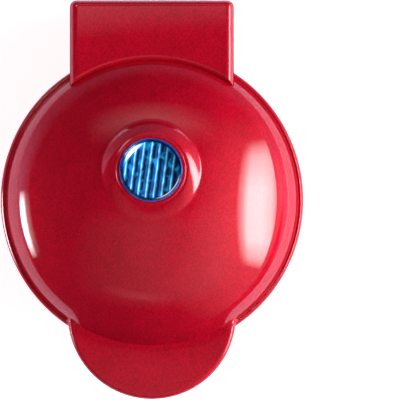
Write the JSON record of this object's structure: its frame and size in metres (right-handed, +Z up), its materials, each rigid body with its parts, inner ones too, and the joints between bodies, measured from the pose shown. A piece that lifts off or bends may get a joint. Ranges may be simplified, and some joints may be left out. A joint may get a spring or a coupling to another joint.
{
  "type": "mini pizzelle maker",
  "caption": "Small round hinged pizzelle maker with a domed lid, a lens for its lamp, a front grip tab and rosette-patterned cooking plates.",
  "frame": {"origin": "on the table, under the middle of the object's overall plan", "axes": "+Z up; +Y from the grip tab to the hinge block; +X to the right, seen from the grip tab"},
  "size_m": [0.126, 0.1656, 0.0715],
  "materials": {
    "candy_red": "candy-red pearl plastic with fine glitter under a clear gloss coat",
    "lens_blue": "clear blue moulded lens, polished",
    "white_plastic": "plain moulded",
    "lamp_glass": "clear glass of a small neon lamp",
    "dark_coating": "cast aluminium with a dark non-stick coating",
    "sheet_steel": "pressed sheet, mill finish",
    "dark_steel": "element sheath, heat-darkened steel",
    "bright_steel": "zinc-plated steel",
    "brass": "turned",
    "black_plastic": "fine texture",
    "black_rubber": "matt",
    "ceramic": "steatite terminal block, unglazed",
    "lead_sleeve": "woven glass sleeve over the wire"
  },
  "bodies": {
    "base": {"base_frame": "candy_red", "base_lead_left": "lead_sleeve", "base_lead_right": "lead_sleeve", "base_shell": "candy_red", "bottom_cover": "black_plastic", "cord_inlet_bush": "black_rubber", "cover_screw_1": "bright_steel", "cover_screw_2": "bright_steel", "cover_screw_3": "bright_steel", "cover_screw_4": "bright_steel", "hinge_bush_left": "brass", "hinge_bush_right": "brass", "lower_cooking_plate": "dark_coating", "lower_heat_pan": "sheet_steel", "lower_heating_element": "dark_steel", "lower_plate_screw_1": "bright_steel", "lower_plate_screw_2": "bright_steel", "lower_plate_screw_3": "bright_steel", "rubber_foot_1": "black_rubber", "rubber_foot_2": "black_rubber", "rubber_foot_3": "black_rubber", "rubber_foot_4": "black_rubber", "terminal_block": "ceramic", "thermal_fuse": "bright_steel", "thermostat": "black_plastic"},
    "lid": {"lid_shell": "candy_red", "indicator_lens": "lens_blue", "lens_holder": "white_plastic", "indicator_lamp": "lamp_glass", "lid_frame": "candy_red", "upper_cooking_plate": "dark_coating", "upper_heating_element": "dark_steel", "upper_heat_pan": "sheet_steel", "upper_plate_screw_1": "bright_steel", "upper_plate_screw_2": "bright_steel", "upper_plate_screw_3": "bright_steel", "lid_lead_left": "lead_sleeve", "lid_lead_right": "lead_sleeve", "hinge_pin_left": "bright_steel", "hinge_pin_right": "bright_steel"}
  },
  "joints": [
    {"name": "lid_hinge", "type": "hinge", "parent": "base", "child": "lid", "pos_m": [0, 0.069, 0.036], "axis": [-1, 0, 0], "range_deg": [0, 100]}
  ]
}
